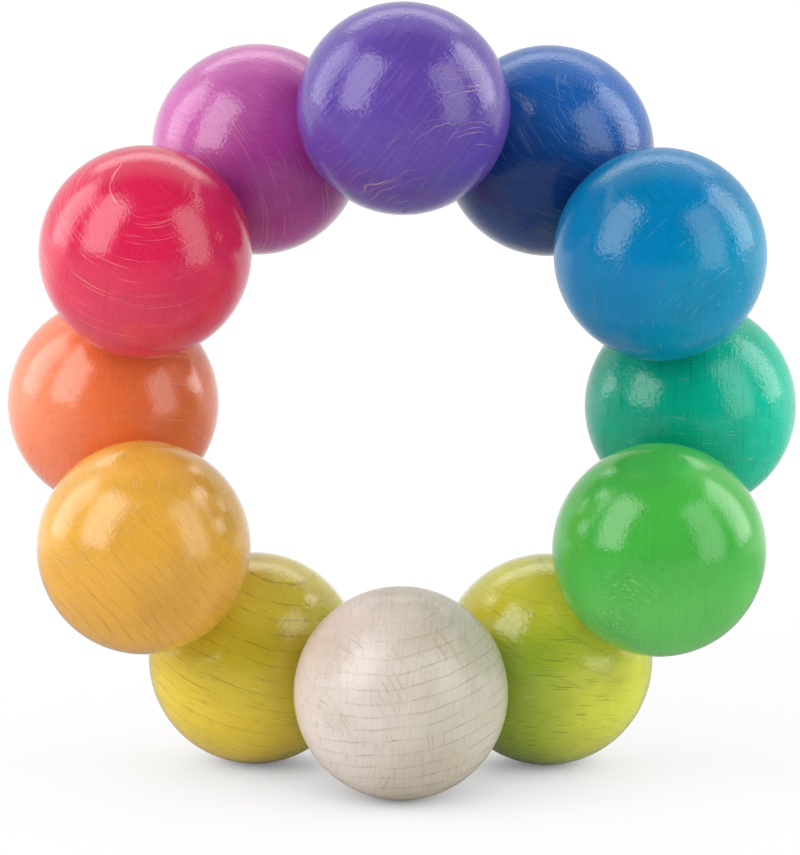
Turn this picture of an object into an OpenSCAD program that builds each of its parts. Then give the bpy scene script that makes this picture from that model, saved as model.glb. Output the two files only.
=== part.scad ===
// Wooden fidget ring: twelve stained beech balls joined by swivel pins into one closed chain.
// Every ball holds two swivel axes at a right angle, so that the chain folds but never parts.
// Millimetres, +Z up. The ring stands on three balls and leans back; its front faces -Y.
// The origin is on the standing surface, under the middle of the ring's overall box.

/* [Balls] */
// Diameter of a turned ball
ball_d = 30; // [24:0.5:45]
// Diameter of the flat seat where two balls meet
seat_d = 7; // [6.5:0.25:9]
// Running gap between two seats
seat_gap = 0.1; // [0.05:0.05:0.3]
// Degrees by which the standing ring is eased out of its regular crown, which makes it balance
ease_turn = 1; // [0:0.25:3]

/* [Swivel pins] */
// Diameter of a pin's shank
shank_d = 3; // [2:0.25:3.5]
// Length of a pin that is held fast in its ball
grip_l = 8; // [5:0.5:10]
// Number of grooves round the held length
groove_count = 4; // [1:1:6]
// Depth and half width of a groove
groove_depth = 0.25; // [0.1:0.05:0.4]
// Thickness of a pin's head
head_t = 1.6; // [1:0.1:2.5]
// Gap all round a head in its socket
head_gap = 0.2; // [0.1:0.05:0.5]
// Free depth of the socket behind a head
head_room = 0.8; // [0.3:0.1:1.5]
// Edge break on a pin's head and tip
pin_chamfer = 0.4; // [0.1:0.1:0.6]
// Play all round the held end of the pin that closes the ring
closing_play = 1.3; // [0.9:0.1:1.6]

/* [Bushes] */
// Wall of a bush
bush_wall = 1.25; // [0.75:0.25:1.5]
// Length of a bush
bush_l = 4; // [3:0.5:6]
// Running gap between a shank and its bush
running_gap = 0.05; // [0.02:0.01:0.1]
// Edge break at both ends of a bush
bush_chamfer = 0.3; // [0.1:0.05:0.4]

/* [Disc springs] */
// Number of disc springs on a pin
spring_count = 2; // [2:2:4]
// Thickness of the spring steel
spring_t = 0.3; // [0.2:0.05:0.5]
// Height of a spring's cone
spring_rise = 0.25; // [0.1:0.05:0.4]
// Gap round a spring, inside and outside
spring_gap = 0.15; // [0.05:0.05:0.3]
// Play between the last spring and the head
spring_play = 0.03; // [0.02:0.01:0.1]

/* [Hidden] */
$fn = 96;

// Names and stain colours round the ring, from the standing ball clockwise as seen from the front
BALLS = [
    ["white", "#DDD3C9"],
    ["yellow", "#D3C22B"],
    ["amber", "#E8AE3F"],
    ["orange", "#F07A45"],
    ["red", "#E5315A"],
    ["magenta", "#A73B95"],
    ["violet", "#6B4FA8"],
    ["navy", "#1F4E9A"],
    ["blue", "#0A85C7"],
    ["teal", "#0AAF8C"],
    ["green", "#43B549"],
    ["lime", "#A2BF2C"]
];
PIECES = ["ball", "bush", "disc_springs", "swivel_pin"];
last = len(BALLS) - 1;
// The ring is closed by the swivel of this ball, opposite the standing one
closing = len(BALLS) / 2;

// Seats and pitch
seat_at = sqrt(pow(ball_d / 2, 2) - pow(seat_d / 2, 2));
pitch = 2 * seat_at + seat_gap;

// Swivel stack, measured along its axis from the middle of the ball that holds the head
bush_d = shank_d + 2 * running_gap + 2 * bush_wall;
bush_back = seat_at - bush_l;
spring_step = spring_t + spring_rise;
head_face = bush_back - spring_count * spring_step - spring_play;
socket_depth = seat_at - head_face + head_t + head_room;
pin_tip = seat_at + seat_gap + grip_l;
head_d = bush_d - 2 * head_gap;

// Drill point of every socket
point_angle = 118;
function point_l(d) = d / 2 / tan(point_angle / 2);
mouth_chamfer = 0.3;
cut = 1;
// The sphere's seam runs down the side opposite both seats
seam_turn = 225;

// Turns of the swivels. With right-angled balls a quarter of the ring turns by hold, -give, hold,
// the next quarter by the opposite turns, and so on, and the chain closes on itself exactly.
crown_turn = acos(sqrt(3) - 1);
hold = crown_turn - ease_turn;
give = 2 * atan(pow(cos(hold), 2) / (2 * sin(hold)));
quarter = [hold, -give, hold];
function turn(i) = (floor(i / len(quarter)) % 2 == 0 ? 1 : -1) * quarter[i % len(quarter)];

// Rigid moves. In each ball +X runs to the next ball, +Y to the one before, and Z across both.
function along_x(d) = [[1, 0, 0, d], [0, 1, 0, 0], [0, 0, 1, 0], [0, 0, 0, 1]];
function about_x(a) = [[1, 0, 0, 0], [0, cos(a), -sin(a), 0], [0, sin(a), cos(a), 0], [0, 0, 0, 1]];
look_back = [[0, -1, 0, 0], [-1, 0, 0, 0], [0, 0, -1, 0], [0, 0, 0, 1]];
// The standing ball has both axes level, at 45 degrees to the depth of the ring
level = cos(45);
standing = [[-level, level, 0, 0], [level, level, 0, 0], [0, 0, -1, 0], [0, 0, 0, 1]];
function walked(i) =
    i == 0 ? standing : walked(i - 1) * along_x(pitch) * about_x(turn(i - 1)) * look_back;
ring_depth = max([for (i = [0 : last]) walked(i)[1][3]]);

module at_ball(i) {
    translate([0, -ring_depth / 2, ball_d / 2])
        multmatrix(walked(i))
            children();
}

// Swivel axis of a ball: +Z runs out to the next ball
module to_next() {
    rotate([0, 90, 0])
        children();
}

// Pin axis of a ball: +Z runs out to the ball before
module to_previous() {
    rotate([-90, 0, 0])
        children();
}

module drilled(d, depth) {
    floor_at = seat_at - depth;
    rotate_extrude()
        polygon([
            [0, floor_at - point_l(d)],
            [d / 2, floor_at],
            [d / 2, ball_d / 2 + cut],
            [0, ball_d / 2 + cut]
        ]);
}

module seat_cut() {
    translate([0, 0, seat_at])
        cylinder(d = seat_d + 2 * cut, h = ball_d / 2);
}

module mouth(d) {
    translate([0, 0, seat_at - mouth_chamfer])
        cylinder(d1 = d, d2 = d + 2 * mouth_chamfer, h = mouth_chamfer);
}

// A solid turned ball with two seats at a right angle, a swivel socket and a pin socket
module ball(i) {
    before = (i + last) % len(BALLS);
    grip_d = shank_d + (before == closing ? 2 * closing_play : 0);
    color(BALLS[i][1])
        at_ball(i)
            difference() {
                rotate([0, 0, seam_turn])
                    sphere(d = ball_d);
                to_next() {
                    seat_cut();
                    drilled(bush_d, socket_depth);
                }
                to_previous() {
                    seat_cut();
                    mouth(grip_d);
                    drilled(grip_d, grip_l);
                }
            }
}

// Plastic sleeve pressed in flush with the seat: it keeps the pin's head in the ball
module bush(i) {
    inner = shank_d / 2 + running_gap;
    outer = bush_d / 2;
    color("ivory")
        at_ball(i)
            to_next()
                rotate_extrude()
                    polygon([
                        [inner, bush_back],
                        [outer - bush_chamfer, bush_back],
                        [outer, bush_back + bush_chamfer],
                        [outer, seat_at],
                        [inner + bush_chamfer, seat_at],
                        [inner, seat_at - bush_chamfer]
                    ]);
}

// One conical washer of spring steel, its wide edge at the near or the far end
module disc_spring(wide_far) {
    inner = shank_d / 2 + spring_gap;
    outer = bush_d / 2 - spring_gap;
    inner_at = wide_far ? 0 : spring_rise;
    outer_at = spring_rise - inner_at;
    rotate_extrude()
        polygon([
            [inner, inner_at],
            [outer, outer_at],
            [outer, outer_at + spring_t],
            [inner, inner_at + spring_t]
        ]);
}

// Disc springs stacked edge to edge between the bush and the head: they draw the two seats together
module disc_springs(i) {
    color("silver")
        at_ball(i)
            to_next()
                for (k = [1 : spring_count])
                    translate([0, 0, bush_back - k * spring_step])
                        disc_spring(k % 2 == 0);
}

// Steel pin: its head turns in this ball, and its grooved end is held fast in the next one
module swivel_pin(i) {
    shank_r = shank_d / 2;
    head_r = head_d / 2;
    groove_step = grip_l / (groove_count + 1);
    grooves = [
        for (k = [1 : groove_count])
            let (middle = pin_tip - grip_l + k * groove_step)
                for (side = [-1, 0, 1])
                    [shank_r - (side == 0 ? groove_depth : 0), middle + side * groove_depth]
    ];
    color("gainsboro")
        at_ball(i)
            to_next()
                rotate_extrude()
                    polygon(concat(
                        [
                            [0, head_face - head_t],
                            [head_r - pin_chamfer, head_face - head_t],
                            [head_r, head_face - head_t + pin_chamfer],
                            [head_r, head_face],
                            [shank_r, head_face]
                        ],
                        grooves,
                        [
                            [shank_r, pin_tip - pin_chamfer],
                            [shank_r - pin_chamfer, pin_tip],
                            [0, pin_tip]
                        ]
                    ));
}

function node_name(i, piece) = str(BALLS[i][0], "_", piece);

for (i = [0 : last]) {
    ball(i);
    bush(i);
    disc_springs(i);
    swivel_pin(i);
}
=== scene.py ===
"""Wooden fidget ring: stained and lacquered beech balls on hidden swivel pins, in a white studio."""
import math
from dataclasses import dataclass, field
from types import SimpleNamespace

import bpy
from mathutils import Euler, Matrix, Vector

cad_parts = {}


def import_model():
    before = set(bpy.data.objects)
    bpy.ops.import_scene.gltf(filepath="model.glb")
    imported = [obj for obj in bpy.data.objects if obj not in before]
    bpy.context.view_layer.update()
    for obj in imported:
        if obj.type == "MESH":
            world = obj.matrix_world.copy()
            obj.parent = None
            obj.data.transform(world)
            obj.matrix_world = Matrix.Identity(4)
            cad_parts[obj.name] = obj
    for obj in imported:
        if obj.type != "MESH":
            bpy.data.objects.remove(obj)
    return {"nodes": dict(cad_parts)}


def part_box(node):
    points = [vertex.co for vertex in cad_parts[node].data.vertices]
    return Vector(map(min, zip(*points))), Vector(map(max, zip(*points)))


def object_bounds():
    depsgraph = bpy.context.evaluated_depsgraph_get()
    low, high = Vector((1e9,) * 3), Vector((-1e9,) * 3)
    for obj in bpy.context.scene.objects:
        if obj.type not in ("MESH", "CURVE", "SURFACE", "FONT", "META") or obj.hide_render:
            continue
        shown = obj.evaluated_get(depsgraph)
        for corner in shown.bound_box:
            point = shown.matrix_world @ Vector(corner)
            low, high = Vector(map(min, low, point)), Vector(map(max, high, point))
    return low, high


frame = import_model()
cad_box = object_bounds()

MM = 0.001
BALL_RADIUS = 15.0
PHOTO_WIDTH = 800
WHITE = (1.0, 1.0, 1.0, 1.0)
BACKWARDS = Vector((0, 1, 0))


def srgb(code):
    """Linear colour, with alpha, of a hex code."""
    values = [int(code[i:i + 2], 16) / 255 for i in (1, 3, 5)]
    return [v / 12.92 if v <= 0.04045 else ((v + 0.055) / 1.055) ** 2.4 for v in values] + [1.0]


# Node trees

class Shader:
    """The node tree of a material or a world, with short calls that add a node and wire it."""

    def __init__(self, owner):
        owner.use_nodes = True
        self.owner = owner
        self.tree = owner.node_tree
        self.tree.nodes.clear()

    def node(self, kind, inputs=None, **settings):
        made = self.tree.nodes.new(kind)
        for key, value in settings.items():
            setattr(made, key, value)
        for key, value in (inputs or {}).items():
            self.feed(made.inputs[key], value)
        return made

    def feed(self, socket, value):
        if isinstance(value, bpy.types.NodeSocket):
            self.tree.links.new(value, socket)
        else:
            socket.default_value = value

    def math(self, operation, *values):
        inputs = dict(enumerate(values))
        return self.node("ShaderNodeMath", inputs, operation=operation).outputs[0]

    def times(self, value, *factors):
        for factor in factors:
            value = self.math("MULTIPLY", value, factor)
        return value

    def plus(self, first, second):
        return self.math("ADD", first, second)

    def dot(self, vector, direction):
        made = self.node("ShaderNodeVectorMath", {0: vector, 1: direction}, operation="DOT_PRODUCT")
        return made.outputs["Value"]

    def ramp(self, value, low, high, to_low=0.0, to_high=1.0):
        """Smooth step from to_low to to_high, as value goes from low to high."""
        inputs = {"Value": value, "From Min": low, "From Max": high, "To Min": to_low, "To Max": to_high}
        return self.node("ShaderNodeMapRange", inputs, interpolation_type="SMOOTHSTEP").outputs["Result"]

    def noise(self, vector, scale=1.0, detail=2.0, rough=0.5):
        inputs = {"Vector": vector, "Scale": scale, "Detail": detail, "Roughness": rough}
        return self.node("ShaderNodeTexNoise", inputs).outputs["Fac"]

    def mix(self, factor, first, second):
        """A colour between two colours."""
        made = self.node("ShaderNodeMix", {0: factor, 6: first, 7: second}, data_type="RGBA")
        return made.outputs[2]

    def lerp(self, factor, first, second):
        """A number between two numbers."""
        made = self.node("ShaderNodeMix", {0: factor, 2: first, 3: second}, data_type="FLOAT")
        return made.outputs[0]

    def place(self):
        """The place of a point, in metres."""
        return self.node("ShaderNodeTexCoord").outputs["Object"]

    def place_mm(self, centre=(0, 0, 0)):
        """The place of a point, in mm from centre."""
        inputs = {"Vector": self.place(), "Location": centre, "Scale": (MM, MM, MM)}
        return self.node("ShaderNodeMapping", inputs, vector_type="TEXTURE").outputs["Vector"]

    def bump(self, height, strength, depth):
        """The normal of a surface whose relief is depth mm high."""
        inputs = {"Height": height, "Strength": strength, "Distance": depth * MM}
        return self.node("ShaderNodeBump", inputs).outputs[0]

    def ray_kinds(self):
        """Whether a ray comes straight from the camera, and whether it was mirrored or let through."""
        rays = self.node("ShaderNodeLightPath").outputs
        mirrored = self.math("MAXIMUM", rays["Is Glossy Ray"], rays["Is Transmission Ray"])
        return rays["Is Camera Ray"], mirrored

    def finish(self, surface, output="ShaderNodeOutputMaterial"):
        self.node(output, {"Surface": surface})
        return self.owner


# Stained beech
# Turns are degrees on a ball's front, from the right towards the top. Lengths, widths, gaps and
# reaches are mm. A side is the direction from the ball's middle in which a mark or a painted light tone
# shows most.

PALE = "#F4E4D0"
ALL_ROUND = (0.0, 0.0, 0.0)
REACH = -4.0


@dataclass
class Lines:
    """Growth lines, with the bow that curves them and the share of their length that is broken."""
    turn: float
    gap: float
    depth: float
    bow: float = 0.0
    broken: float = 0.7
    side: tuple = ALL_ROUND


@dataclass
class Flecks:
    """Short dashes of rays and pores, in the dark colour of the wood unless they have their own."""
    turn: float
    depth: float
    length: float = 1.6
    width: float = 0.18
    colour: str = ""
    side: tuple = ALL_ROUND
    rare: float = 0.7


@dataclass
class Arcs:
    """Marks of turning and sanding round an axis, left out within hollow mm of the axis's end."""
    axis: tuple
    depth: float
    length: float = 6.0
    width: float = 0.14
    drift: float = 0.4
    colour: str = PALE
    side: tuple = ALL_ROUND
    reach: float = REACH
    hollow: float = 0.0
    rare: float = 0.71
    patchy: float = 1.0


@dataclass
class PaintedLight:
    """A lighter tone painted on one side of the ball, from reach mm along that side: painted light where
    that side is lit more brightly, and on lower halves a painted reflection of the floor.
    """
    colour: str
    side: tuple
    reach: float = 2.0


@dataclass
class Beech:
    """One ball's stain, the dark colour of its figure, its marks, its lacquer and its painted light:
    lighter tones on the sides where light falls.
    """
    stain: str
    dark: str
    lines: Lines
    flecks: Flecks
    arcs: Arcs
    fibre_turn: float
    brush_turn: float
    fibre_depth: float = 0.22
    brush_depth: float = 0.02
    coat: float = 1.0
    coat_roughness: float = 0.07
    peel: float = 1.1
    peel_scale: float = 1.8
    painted_lights: list = field(default_factory=list)


# The tones at the end of each entry are painted light: lighter sides where the lamps fall and, on lower
# halves, where the floor is reflected.
BEECH = {
    "white": Beech(
        "#CFC7B6", "#96745A",
        Lines(turn=9, gap=1.9, depth=0.42, bow=0.006, broken=0.15, side=(0.45, -0.6, -0.35)),
        Flecks(turn=-24, depth=0.3, length=1.5, width=0.13, side=(-0.6, -0.3, 0.7)),
        Arcs(axis=(-0.75, -0.55, -0.3), depth=0.7, length=7, width=0.12, colour="#A98A66",
             side=(0.1, -0.9, 0.1), reach=4.0, rare=0.69),
        fibre_turn=82, brush_turn=84,
        coat=0.6, coat_roughness=0.18, peel=0.7, peel_scale=2.6,
        painted_lights=[PaintedLight("#DDD2C8", (-0.85, -0.45, 0.1))]),
    "yellow": Beech(
        "#DAC634", "#7A5E18",
        Lines(turn=-14, gap=2.1, depth=0.45, bow=0.012, broken=0.4, side=(-0.3, -0.6, 0.6)),
        Flecks(turn=-24, depth=0.4, length=1.4, side=(0.2, -0.5, -0.5)),
        Arcs(axis=(0.7, -0.5, 0.5), depth=0.12),
        fibre_turn=-18, brush_turn=-20, fibre_depth=0.14,
        painted_lights=[PaintedLight("#EACF40", (-0.5, -0.3, -0.8)), PaintedLight("#F2DE4A", (0.35, -0.1, 0.93), reach=6.0)]),
    "amber": Beech(
        "#E4A83D", "#86683E",
        Lines(turn=-48, gap=1.6, depth=0.42, bow=-0.012, broken=0.3, side=(0.0, -0.4, -0.9)),
        Flecks(turn=-64, depth=0.3, length=1.5, side=(0.5, -0.3, 0.7)),
        Arcs(axis=(-0.5, -0.5, 0.7), depth=0.15, length=4),
        fibre_turn=-52, brush_turn=40,
        coat_roughness=0.1, peel=0.6, peel_scale=2.6),
    "orange": Beech(
        "#E7723F", "#B04E2C",
        Lines(turn=3, gap=2.6, depth=0.12),
        Flecks(turn=80, depth=0.15),
        Arcs(axis=(0.15, -0.55, -0.8), depth=0.45, length=12, colour="#F9C49C", side=(0.8, -0.5, 0.0)),
        fibre_turn=80, brush_turn=12,
        coat_roughness=0.09, peel=0.6, peel_scale=2.6,
        painted_lights=[PaintedLight("#EE8862", (-1.0, -0.1, -0.1))]),
    "red": Beech(
        "#D8204E", "#9C1E3E",
        Lines(turn=84, gap=2.0, depth=0.12, side=(-0.3, -0.4, -0.8)),
        Flecks(turn=82, depth=0.3, side=(-0.2, -0.4, -0.9)),
        Arcs(axis=(0.05, -0.62, 0.78), depth=0.55, length=9, width=0.12, colour="#FFB0A8",
             side=(-0.9, -0.35, 0.3), hollow=3.6, rare=0.7, patchy=0.4),
        fibre_turn=82, brush_turn=-42,
        coat_roughness=0.08, peel=0.7, peel_scale=2.4,
        painted_lights=[PaintedLight("#D93A58", (-0.5, -0.3, -0.8))]),
    "magenta": Beech(
        "#B33D9C", "#6E2A62",
        Lines(turn=-6, gap=2.4, depth=0.1),
        Flecks(turn=-8, depth=0.2, side=(0.3, -0.3, -0.8)),
        Arcs(axis=(-0.78, -0.5, -0.36), depth=0.45, length=8, colour="#F0B08C", side=(0.0, -0.7, -0.4)),
        fibre_turn=-8, brush_turn=-30,
        coat_roughness=0.1,
        painted_lights=[PaintedLight("#C662AC", (-0.75, -0.15, 0.65))]),
    "violet": Beech(
        "#5F44A0", "#3E2F78",
        Lines(turn=-40, gap=3.2, depth=0.1),
        Flecks(turn=-50, depth=0.18, length=6, width=0.1, colour="#A594D0", side=(-0.6, -0.5, 0.4)),
        Arcs(axis=(0.3, -0.35, -0.9), depth=0.6, length=14, width=0.24, drift=2.4, colour="#D8B08A",
             side=(0.7, -0.5, -0.5), reach=3.0, rare=0.73),
        fibre_turn=-42, brush_turn=52, brush_depth=0.06,
        coat=0.9, coat_roughness=0.1),
    "navy": Beech(
        "#0F3D82", "#0E2A55",
        Lines(turn=-25, gap=2.6, depth=0.15),
        Flecks(turn=-22, depth=0.2, length=5, width=0.1, colour="#6F8DC0"),
        Arcs(axis=(0.55, -0.55, 0.62), depth=0.25, length=9, colour="#9FB6D8"),
        fibre_turn=-22, brush_turn=-24, brush_depth=0.03,
        coat=0.8,
        painted_lights=[PaintedLight("#1C62B0", (0.25, -0.2, 0.95))]),
    "blue": Beech(
        "#007BB2", "#005C74",
        Lines(turn=-38, gap=1.4, depth=0.42, side=(0.2, -0.3, 0.9)),
        Flecks(turn=86, depth=0.65, length=1.8, width=0.22, colour="#667434",
               side=(0.0, -0.3, -0.9), rare=0.75),
        Arcs(axis=(0.62, -0.62, -0.47), depth=0.3, length=5, colour="#A9CDB4",
             side=(0.7, -0.5, -0.5), rare=0.73),
        fibre_turn=86, brush_turn=-38, brush_depth=0.0,
        coat=0.65,
        painted_lights=[PaintedLight("#008DB6", (0.8, -0.35, -0.45))]),
    "teal": Beech(
        "#00A989", "#067254",
        Lines(turn=90, gap=1.9, depth=0.42, side=(-0.1, -1.0, 0.0)),
        Flecks(turn=88, depth=0.25),
        Arcs(axis=(0.1, -0.25, 0.96), depth=0.35, length=2.5, colour="#9FDDB4"),
        fibre_turn=89, brush_turn=88, brush_depth=0.0,
        coat=0.7,
        painted_lights=[PaintedLight("#00BC9A", (0.95, -0.3, -0.1))]),
    "green": Beech(
        "#44B142", "#2A7A34",
        Lines(turn=85, gap=2.6, depth=0.1),
        Flecks(turn=86, depth=0.15),
        Arcs(axis=(-0.37, -0.84, -0.4), depth=0.45, length=2.4, width=0.18, colour="#C6D08C",
             side=(-0.37, -0.84, -0.4), reach=12.8, rare=0.66),
        fibre_turn=86, brush_turn=-50, fibre_depth=0.12,
        coat=0.85, coat_roughness=0.08, peel=0.6, peel_scale=2.4,
        painted_lights=[PaintedLight("#5EBE56", (0.1, -0.35, -0.95))]),
    "lime": Beech(
        "#A9C138", "#57601E",
        Lines(turn=-28, gap=2.8, depth=0.25, side=(-0.3, -0.4, 0.8)),
        Flecks(turn=-4, depth=0.7, length=2.6, width=0.11, colour="#5C4C1C", side=(0.4, -0.5, -0.5)),
        Arcs(axis=(-0.6, -0.5, 0.6), depth=0.15),
        fibre_turn=-8, brush_turn=-6, fibre_depth=0.12,
        painted_lights=[PaintedLight("#DADB48", (0.9, -0.3, -0.2)), PaintedLight("#D7D43C", (-0.2, -0.1, 0.97), reach=6.0)]),
}

# A mark sets in where its noise passes the level called rare, and is full at this much above it
MARK_EDGE = 0.08
# Shares of the gap between two growth lines at which a line sets in and is full
LINE_EDGE = (0.8, 0.98)
LINE_SWAY = 2.2
LINE_RIPPLE = 0.18
FLECK_SWAY = 0.2
HOLLOW_EDGE = 1.5
CLOUD_DEPTH = 0.2
PORE_DEPTH = 0.6
# Heights of the marks in the lacquer's relief, as shares of RELIEF mm
FIBRE_RELIEF = 0.26
BRUSH_RELIEF = 0.4
FLECK_CUT = 0.25
ARC_CUT = 0.4
RELIEF = 0.06


def along_front(turn):
    """Unit direction of a mark on a ball's front."""
    a = math.radians(turn)
    return Vector((math.cos(a), 0, math.sin(a)))


def across_front(turn):
    """Unit direction on a ball's front across a mark."""
    return along_front(turn + 90)


def shown(s, ball, side, reach=REACH, least=0.15):
    """How much of a feature shows: least all round, and all of it well past reach on its side."""
    if side == ALL_ROUND:
        return 1.0
    full = max(11.0, reach + 2.5)
    return s.ramp(s.dot(ball, Vector(side).normalized()), reach, full, least, 1.0)


def round_axis(s, ball, place, axis, length, width, drift=0.0):
    """A place on the ball, in widths from the end of an axis and in lengths round it."""
    axis = Vector(axis).normalized()
    front = Vector((0, -1, 0.02))
    front = (front - axis * axis.dot(front)).normalized()
    angle = s.math("ARCTAN2", s.dot(ball, axis.cross(front)), s.dot(ball, front))
    sway = s.times(s.noise(place, scale=0.3, detail=1), drift)
    tip = s.times(s.math("ARCCOSINE", s.dot(ball, axis / BALL_RADIUS)), BALL_RADIUS)
    rings = s.math("DIVIDE", s.plus(tip, sway), width)
    usual_radius = 10.0
    turns = s.times(angle, usual_radius / length)
    own = s.dot(place, Vector((0.01, 0.0, 0.01)))
    return s.node("ShaderNodeCombineXYZ", {"X": rings, "Y": turns, "Z": own}).outputs[0]


def growth_lines(s, ball, place, lines):
    """Thin dark lines at the end of each year's growth, a little wavy and uneven."""
    across = s.dot(ball, across_front(lines.turn))
    along = s.dot(ball, along_front(lines.turn))
    bow = s.times(s.math("POWER", along, 2.0), lines.bow)
    sway = s.times(s.noise(place, scale=0.1, detail=1), LINE_SWAY)
    ripple = s.times(s.noise(place, scale=0.6, detail=1), LINE_RIPPLE)
    level = s.plus(s.math("SUBTRACT", across, bow), s.plus(sway, ripple))
    line = s.ramp(s.math("FRACT", s.math("DIVIDE", level, lines.gap)), *LINE_EDGE)
    spot = round_axis(s, ball, place, across_front(lines.turn), length=3.6, width=0.6)
    sets_in = 0.3 + 0.2 * lines.broken
    weakest = 0.15 * (1.0 - lines.broken)
    uneven = s.ramp(s.noise(spot), sets_in, 0.65, weakest, 1.0)
    return s.times(line, uneven, shown(s, ball, lines.side))


def short_flecks(s, ball, place, flecks):
    """Short dashes drawn out along the fibres, in patches."""
    across = across_front(flecks.turn)
    spot = round_axis(s, ball, place, across, flecks.length, flecks.width, FLECK_SWAY)
    dash = s.ramp(s.noise(spot, detail=0), flecks.rare, flecks.rare + MARK_EDGE)
    patch = s.ramp(s.noise(place, scale=0.16), 0.36, 0.55)
    return s.times(dash, patch, shown(s, ball, flecks.side))


def turning_arcs(s, ball, place, arcs):
    """Thin arcs that follow circles round the turning axis, in patches."""
    spot = round_axis(s, ball, place, arcs.axis, arcs.length, arcs.width, arcs.drift)
    arc = s.ramp(s.noise(spot, detail=0), arcs.rare, arcs.rare + MARK_EDGE)
    patch = s.ramp(s.noise(place, scale=0.12, detail=1), 0.4, 0.55, 1.0 - arcs.patchy, 1.0)
    if arcs.hollow:
        tip = s.dot(ball, Vector(arcs.axis).normalized())
        clear = BALL_RADIUS * math.cos(arcs.hollow / BALL_RADIUS)
        full = BALL_RADIUS * math.cos((arcs.hollow + HOLLOW_EDGE) / BALL_RADIUS)
        arc = s.times(arc, s.ramp(tip, full, clear, 1.0, 0.0))
    return s.times(arc, patch, shown(s, ball, arcs.side, arcs.reach, least=0.08))


def wood_marks(s, wood, ball, place):
    """How strong each kind of mark is at a place on the ball."""
    fibre_spot = round_axis(s, ball, place, across_front(wood.fibre_turn), length=2.6, width=0.25)
    brush_spot = round_axis(s, ball, place, across_front(wood.brush_turn), length=6.0, width=0.35)
    return SimpleNamespace(
        lines=growth_lines(s, ball, place, wood.lines),
        flecks=short_flecks(s, ball, place, wood.flecks),
        arcs=turning_arcs(s, ball, place, wood.arcs),
        fibre=s.noise(fibre_spot, detail=3, rough=0.6),
        brush=s.noise(brush_spot, detail=3, rough=0.65),
        cloud=s.noise(place, scale=0.12, detail=3),
        peel=s.noise(place, wood.peel_scale, rough=0.55),
        pores=s.ramp(s.noise(place, scale=2.2, detail=0), 0.85, 0.88),
    )


def wood_colour(s, wood, ball, marks):
    """The stain with its painted light, lighter tones on lit sides, and the marks laid over them one by
    one.
    """
    colour = srgb(wood.stain)
    # Painted light: each side tone lightens the stain on one side, where lamp light and, on lower
    # halves, the floor's reflection fall.
    for painted_light in wood.painted_lights:
        share = shown(s, ball, painted_light.side, painted_light.reach, least=0.0)
        colour = s.mix(share, colour, srgb(painted_light.colour))
    layers = [
        (s.ramp(marks.cloud, 0.35, 0.75, 0.0, CLOUD_DEPTH), wood.dark),
        (s.ramp(marks.fibre, 0.45, 0.75, 0.0, wood.fibre_depth), wood.dark),
        (s.ramp(marks.brush, 0.5, 0.75, 0.0, wood.brush_depth), PALE),
        (s.times(marks.lines, wood.lines.depth), wood.dark),
        (s.times(marks.flecks, wood.flecks.depth), wood.flecks.colour or wood.dark),
        (s.times(marks.arcs, wood.arcs.depth), wood.arcs.colour),
        (s.times(marks.pores, PORE_DEPTH), wood.dark),
    ]
    for share, tone in layers:
        colour = s.mix(share, colour, srgb(tone))
    return colour


def lacquer_relief(s, wood, marks):
    """Height of the lacquer: grain and orange peel, less the cuts of flecks and arcs."""
    grain = s.plus(s.times(marks.fibre, FIBRE_RELIEF), s.times(marks.brush, BRUSH_RELIEF))
    cuts = s.plus(s.times(marks.flecks, FLECK_CUT), s.times(marks.arcs, ARC_CUT))
    return s.math("SUBTRACT", s.plus(grain, s.times(marks.peel, wood.peel)), cuts)


def stained_beech(name, wood, centre):
    """Beech under a clear stain and lacquer."""
    s = Shader(bpy.data.materials.new(name))
    ball = s.place_mm(centre)
    marks = wood_marks(s, wood, ball, s.place_mm())
    bump = s.bump(lacquer_relief(s, wood, marks), strength=0.8, depth=RELIEF)
    beech = s.node("ShaderNodeBsdfPrincipled", {
        "Base Color": wood_colour(s, wood, ball, marks),
        "Roughness": s.ramp(marks.fibre, 0.3, 0.7, 0.45, 0.6),
        "Specular IOR Level": 0.02,
        "Normal": bump,
        "Coat Weight": wood.coat,
        "Coat Roughness": wood.coat_roughness,
        "Coat IOR": 1.55,
        "Coat Normal": bump,
    })
    return s.finish(beech.outputs[0])


# Hidden metal and plastic

def turned_steel(name, colour, roughness):
    """Bright steel with fine turning marks."""
    s = Shader(bpy.data.materials.new(name))
    marks = s.noise(s.place_mm(), scale=9.0, detail=3)
    steel = s.node("ShaderNodeBsdfPrincipled", {
        "Base Color": s.mix(s.ramp(marks, 0.3, 0.7, 0.0, 0.35), srgb(colour), srgb("#5C5D60")),
        "Metallic": 1.0,
        "Roughness": roughness,
        "Normal": s.bump(marks, strength=0.2, depth=0.01),
    })
    return s.finish(steel.outputs[0])


def natural_plastic(name):
    """Natural turned plastic, a little cloudy."""
    s = Shader(bpy.data.materials.new(name))
    cloud = s.noise(s.place_mm(), scale=3.0, detail=3)
    plastic = s.node("ShaderNodeBsdfPrincipled", {
        "Base Color": s.mix(s.ramp(cloud, 0.3, 0.7, 0.0, 0.5), srgb("#EFEBDD"), srgb("#D9D2BE")),
        "Roughness": 0.5,
        "Normal": s.bump(cloud, strength=0.2, depth=0.02),
    })
    return s.finish(plastic.outputs[0])


def dress(node, material):
    """Give a node its material."""
    mesh = frame["nodes"][node].data
    mesh.materials.clear()
    mesh.materials.append(material)


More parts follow.
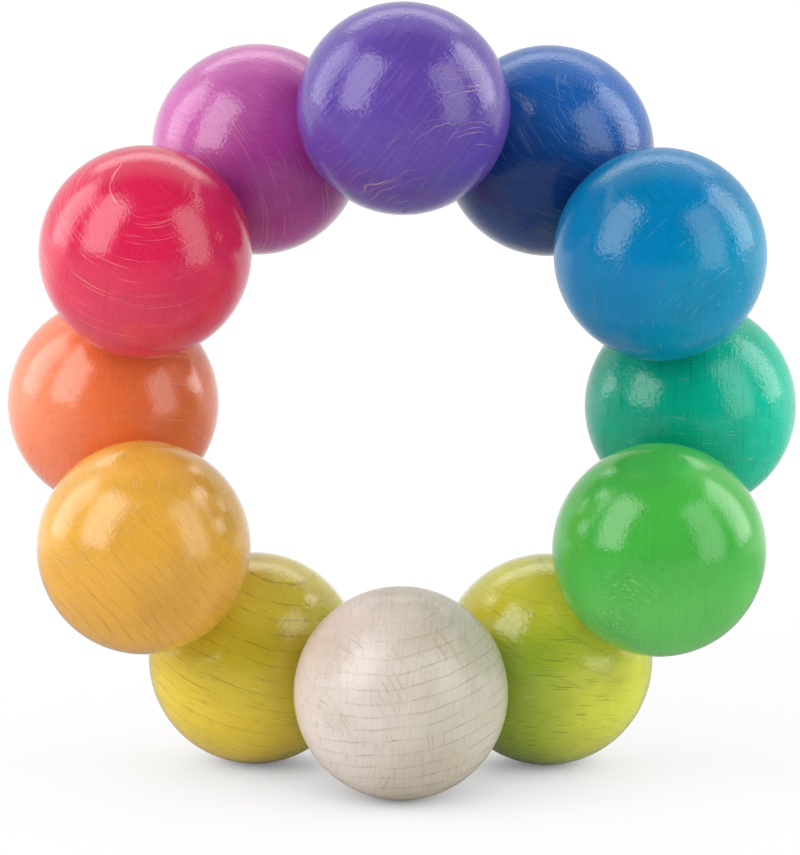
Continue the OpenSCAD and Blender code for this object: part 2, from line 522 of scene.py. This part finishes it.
pin_steel = turned_steel("pin_steel", "#C9CACC", roughness=0.3)
spring_steel = turned_steel("spring_steel", "#A9A9AB", roughness=0.4)
bush_plastic = natural_plastic("bush_plastic")
for colour, wood in BEECH.items():
    low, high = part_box(f"{colour}_ball")
    middle = (Vector(low) + Vector(high)) / 2
    dress(f"{colour}_ball", stained_beech(f"{colour}_beech", wood, middle))
    dress(f"{colour}_bush", bush_plastic)
    dress(f"{colour}_disc_springs", spring_steel)
    dress(f"{colour}_swivel_pin", pin_steel)


# Studio
# Azimuths are degrees from the front towards the right, and elevations are degrees up.

@dataclass
class Softbox:
    """A soft light: where it stands from the ring's middle, its size in metres and its radiance."""
    azimuth: float
    elevation: float
    distance: float
    width: float
    height: float
    radiance: float


SOFTBOXES = {
    "left_softbox": Softbox(-57, 34, distance=0.8, width=0.48, height=0.84, radiance=3.9),
    "right_softbox": Softbox(59, 24, distance=0.8, width=0.46, height=0.84, radiance=2.4),
    "left_panel": Softbox(-106, 25, distance=0.9, width=0.45, height=0.8, radiance=2.9),
    "right_panel": Softbox(106, 25, distance=0.9, width=0.45, height=0.8, radiance=3.7),
    "top_back_strip": Softbox(180, 44, distance=0.9, width=1.0, height=0.24, radiance=1.9),
}
CAMERA_AIM = Vector((-0.26, 0.0, -5.87)) * MM

FLOOR_SIZE = 6.0
FLOOR_TONES = ("#F3F3F4", "#F1F1F2")
# The floor's colour where it glows as well, which leaves room for the glow
GLOWING_TONE = "#69696A"
# Metres from the ring's middle between which the floor's glow rises
GLOW_RISE = (0.12, 0.45)
# Metres behind the ring's middle between which mirrored rays come to see all of the glow
MIRROR_RISE = (0.04, 0.16)
MIRRORED_FRONT = 0.3
# The shadow at the feet deepens with the share of the sky that the ring covers within its reach
SHADOW_REACH = 110 * MM
SHADOW_FALL = 5.4
SHADOW_DEPTH = 0.85


def towards(azimuth, elevation):
    """Unit direction at azimuth and elevation."""
    a, e = math.radians(azimuth), math.radians(elevation)
    return Vector((math.sin(a) * math.cos(e), -math.cos(a) * math.cos(e), math.sin(e)))


def floor_glow(s, seen, near, far):
    """Strength of the floor's own white, from near at the ring to far, and less at the ring's feet."""
    away = s.node("ShaderNodeVectorMath", {0: s.place()}, operation="LENGTH").outputs["Value"]
    lift = s.ramp(away, *GLOW_RISE, near, far)
    sky = s.node("ShaderNodeAmbientOcclusion", {"Distance": SHADOW_REACH}).outputs["AO"]
    covered = s.math("EXPONENT", s.times(sky, -SHADOW_FALL))
    foot = s.math("MULTIPLY_ADD", covered, -SHADOW_DEPTH, 1.0)
    return s.times(seen, lift, foot)


def floor(near, far):
    """Pale floor that glows to white where it is seen, and keeps the ring's shadow."""
    bpy.ops.mesh.primitive_plane_add(size=FLOOR_SIZE)
    made = bpy.context.object
    made.name = "floor"
    s = Shader(bpy.data.materials.new("floor_white"))
    camera_ray, mirrored = s.ray_kinds()
    behind = s.ramp(s.dot(s.place(), BACKWARDS), *MIRROR_RISE, MIRRORED_FRONT, 1.0)
    seen = s.math("MAXIMUM", camera_ray, s.times(mirrored, behind))
    grain = s.noise(s.place_mm(), scale=0.4)
    tone = s.mix(s.ramp(grain, 0.3, 0.7), *(srgb(code) for code in FLOOR_TONES))
    share = s.mix(s.math("MAXIMUM", camera_ray, mirrored), tone, srgb(GLOWING_TONE))
    matt = s.node("ShaderNodeBsdfDiffuse", {"Color": share}).outputs[0]
    strength = floor_glow(s, seen, near, far)
    glow = s.node("ShaderNodeEmission", {"Color": WHITE, "Strength": strength}).outputs[0]
    both = s.node("ShaderNodeAddShader", {0: matt, 1: glow}).outputs[0]
    made.data.materials.append(s.finish(both))


def softbox(name, box, aim):
    """A rectangular lamp that faces aim."""
    direction = towards(box.azimuth, box.elevation)
    lamp = bpy.data.lights.new(name, "AREA")
    lamp.shape = "RECTANGLE"
    lamp.size = box.width
    lamp.size_y = box.height
    lamp.energy = box.radiance * box.width * box.height * math.pi
    made = bpy.data.objects.new(name, lamp)
    made.location = aim + box.distance * direction
    made.rotation_euler = direction.to_track_quat("Z", "Y").to_euler()
    bpy.context.scene.collection.objects.link(made)


def world(fill, front, back):
    """White to the camera, a plain fill light, and in reflections a dim front and a white back."""
    s = Shader(bpy.data.worlds.new("studio"))
    camera_ray, mirrored = s.ray_kinds()
    behind = s.dot(s.node("ShaderNodeTexCoord").outputs["Generated"], BACKWARDS)
    plain = s.lerp(mirrored, fill, s.ramp(behind, 0.05, 0.4, front, back))
    strength = s.lerp(camera_ray, plain, 1.0)
    light = s.node("ShaderNodeBackground", {"Color": WHITE, "Strength": strength}).outputs[0]
    bpy.context.scene.world = s.finish(light, "ShaderNodeOutputWorld")


def camera(aim, azimuth, elevation, roll, distance, focal_px):
    """Long lens at the photograph's angle; focal_px is its focal length in the photograph's pixels."""
    direction = towards(azimuth, elevation)
    lens = bpy.data.cameras.new("camera")
    lens.sensor_fit = "HORIZONTAL"
    lens.lens = focal_px / PHOTO_WIDTH * lens.sensor_width
    lens.clip_end = 20.0
    made = bpy.data.objects.new("camera", lens)
    made.location = aim + distance * direction
    rolled = Euler((0, 0, math.radians(roll))).to_matrix()
    made.rotation_euler = (direction.to_track_quat("Z", "Y").to_matrix() @ rolled).to_euler()
    bpy.context.scene.collection.objects.link(made)
    bpy.context.scene.camera = made


low, high = (Vector(corner) for corner in cad_box)
ring_middle = (low + high) / 2
floor(near=0.85, far=1.0)
world(fill=0.24, front=0.03, back=0.9)
for name, box in SOFTBOXES.items():
    softbox(name, box, ring_middle)
camera(ring_middle + CAMERA_AIM, azimuth=-0.14, elevation=12.35, roll=0.29, distance=1.5, focal_px=10640)

bpy.context.scene.view_settings.view_transform = "Standard"
